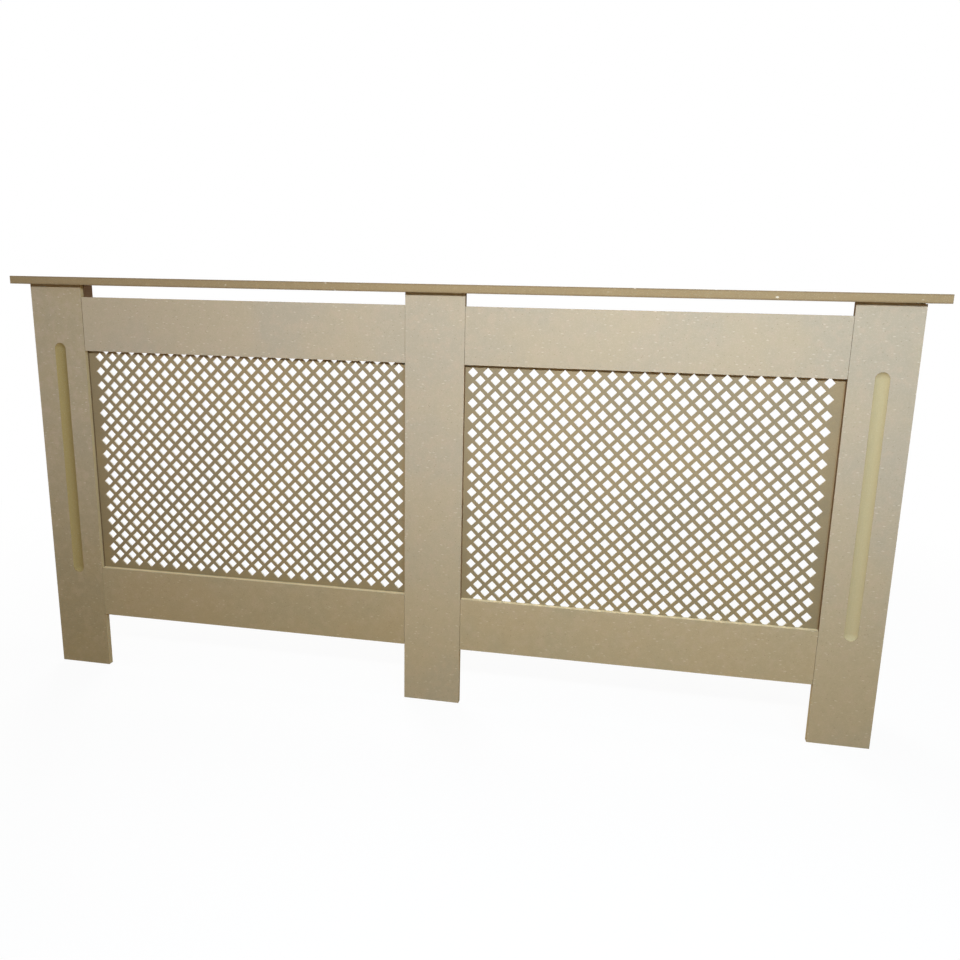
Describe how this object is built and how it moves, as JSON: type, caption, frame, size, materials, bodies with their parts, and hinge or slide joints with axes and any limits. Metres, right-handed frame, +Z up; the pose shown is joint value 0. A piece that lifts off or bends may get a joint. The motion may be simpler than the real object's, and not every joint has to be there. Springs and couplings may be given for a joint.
{
  "type": "radiator cover",
  "caption": "Open-backed radiator cover: a framed front with diamond-lattice grilles between fluted stiles, plain side panels and a thin overhanging shelf.",
  "frame": {"origin": "on the floor, in the middle of the cabinet's length and depth", "axes": "+X along the cabinet to the right seen from the room, +Y from the room to the wall, +Z up"},
  "size_m": [1.72, 0.19, 0.815],
  "materials": {
    "shelf_board": "unpainted MDF, sawn edges browner than the faces",
    "frame_board": "unpainted MDF, smooth sanded face with fine fibre flecks",
    "side_board": "unpainted MDF",
    "grille_sheet": "unpainted thin fibreboard",
    "beech": "plain turned beech",
    "pine": "planed softwood",
    "block_plastic": "brown moulded plastic",
    "zinc_steel": "bright zinc plate",
    "staple_wire": "galvanised wire"
  },
  "bodies": {
    "root": {"batten_screws": "zinc_steel", "bracket_screws": "zinc_steel", "centre_stile": "frame_board", "frame_dowels": "beech", "left_bottom_rail": "frame_board", "left_grille": "grille_sheet", "left_grille_staples": "staple_wire", "left_side_panel": "side_board", "left_stile": "frame_board", "left_top_rail": "frame_board", "left_wall_bracket": "zinc_steel", "right_bottom_rail": "frame_board", "right_grille": "grille_sheet", "right_grille_staples": "staple_wire", "right_side_panel": "side_board", "right_stile": "frame_board", "right_top_rail": "frame_board", "right_wall_bracket": "zinc_steel", "shelf_battens": "pine", "shelf_block_screws": "zinc_steel", "shelf_dowels": "beech", "shelf_joint_blocks": "block_plastic", "side_block_screws": "zinc_steel", "side_joint_blocks": "block_plastic", "top_shelf": "shelf_board"}
  },
  "joints": []
}
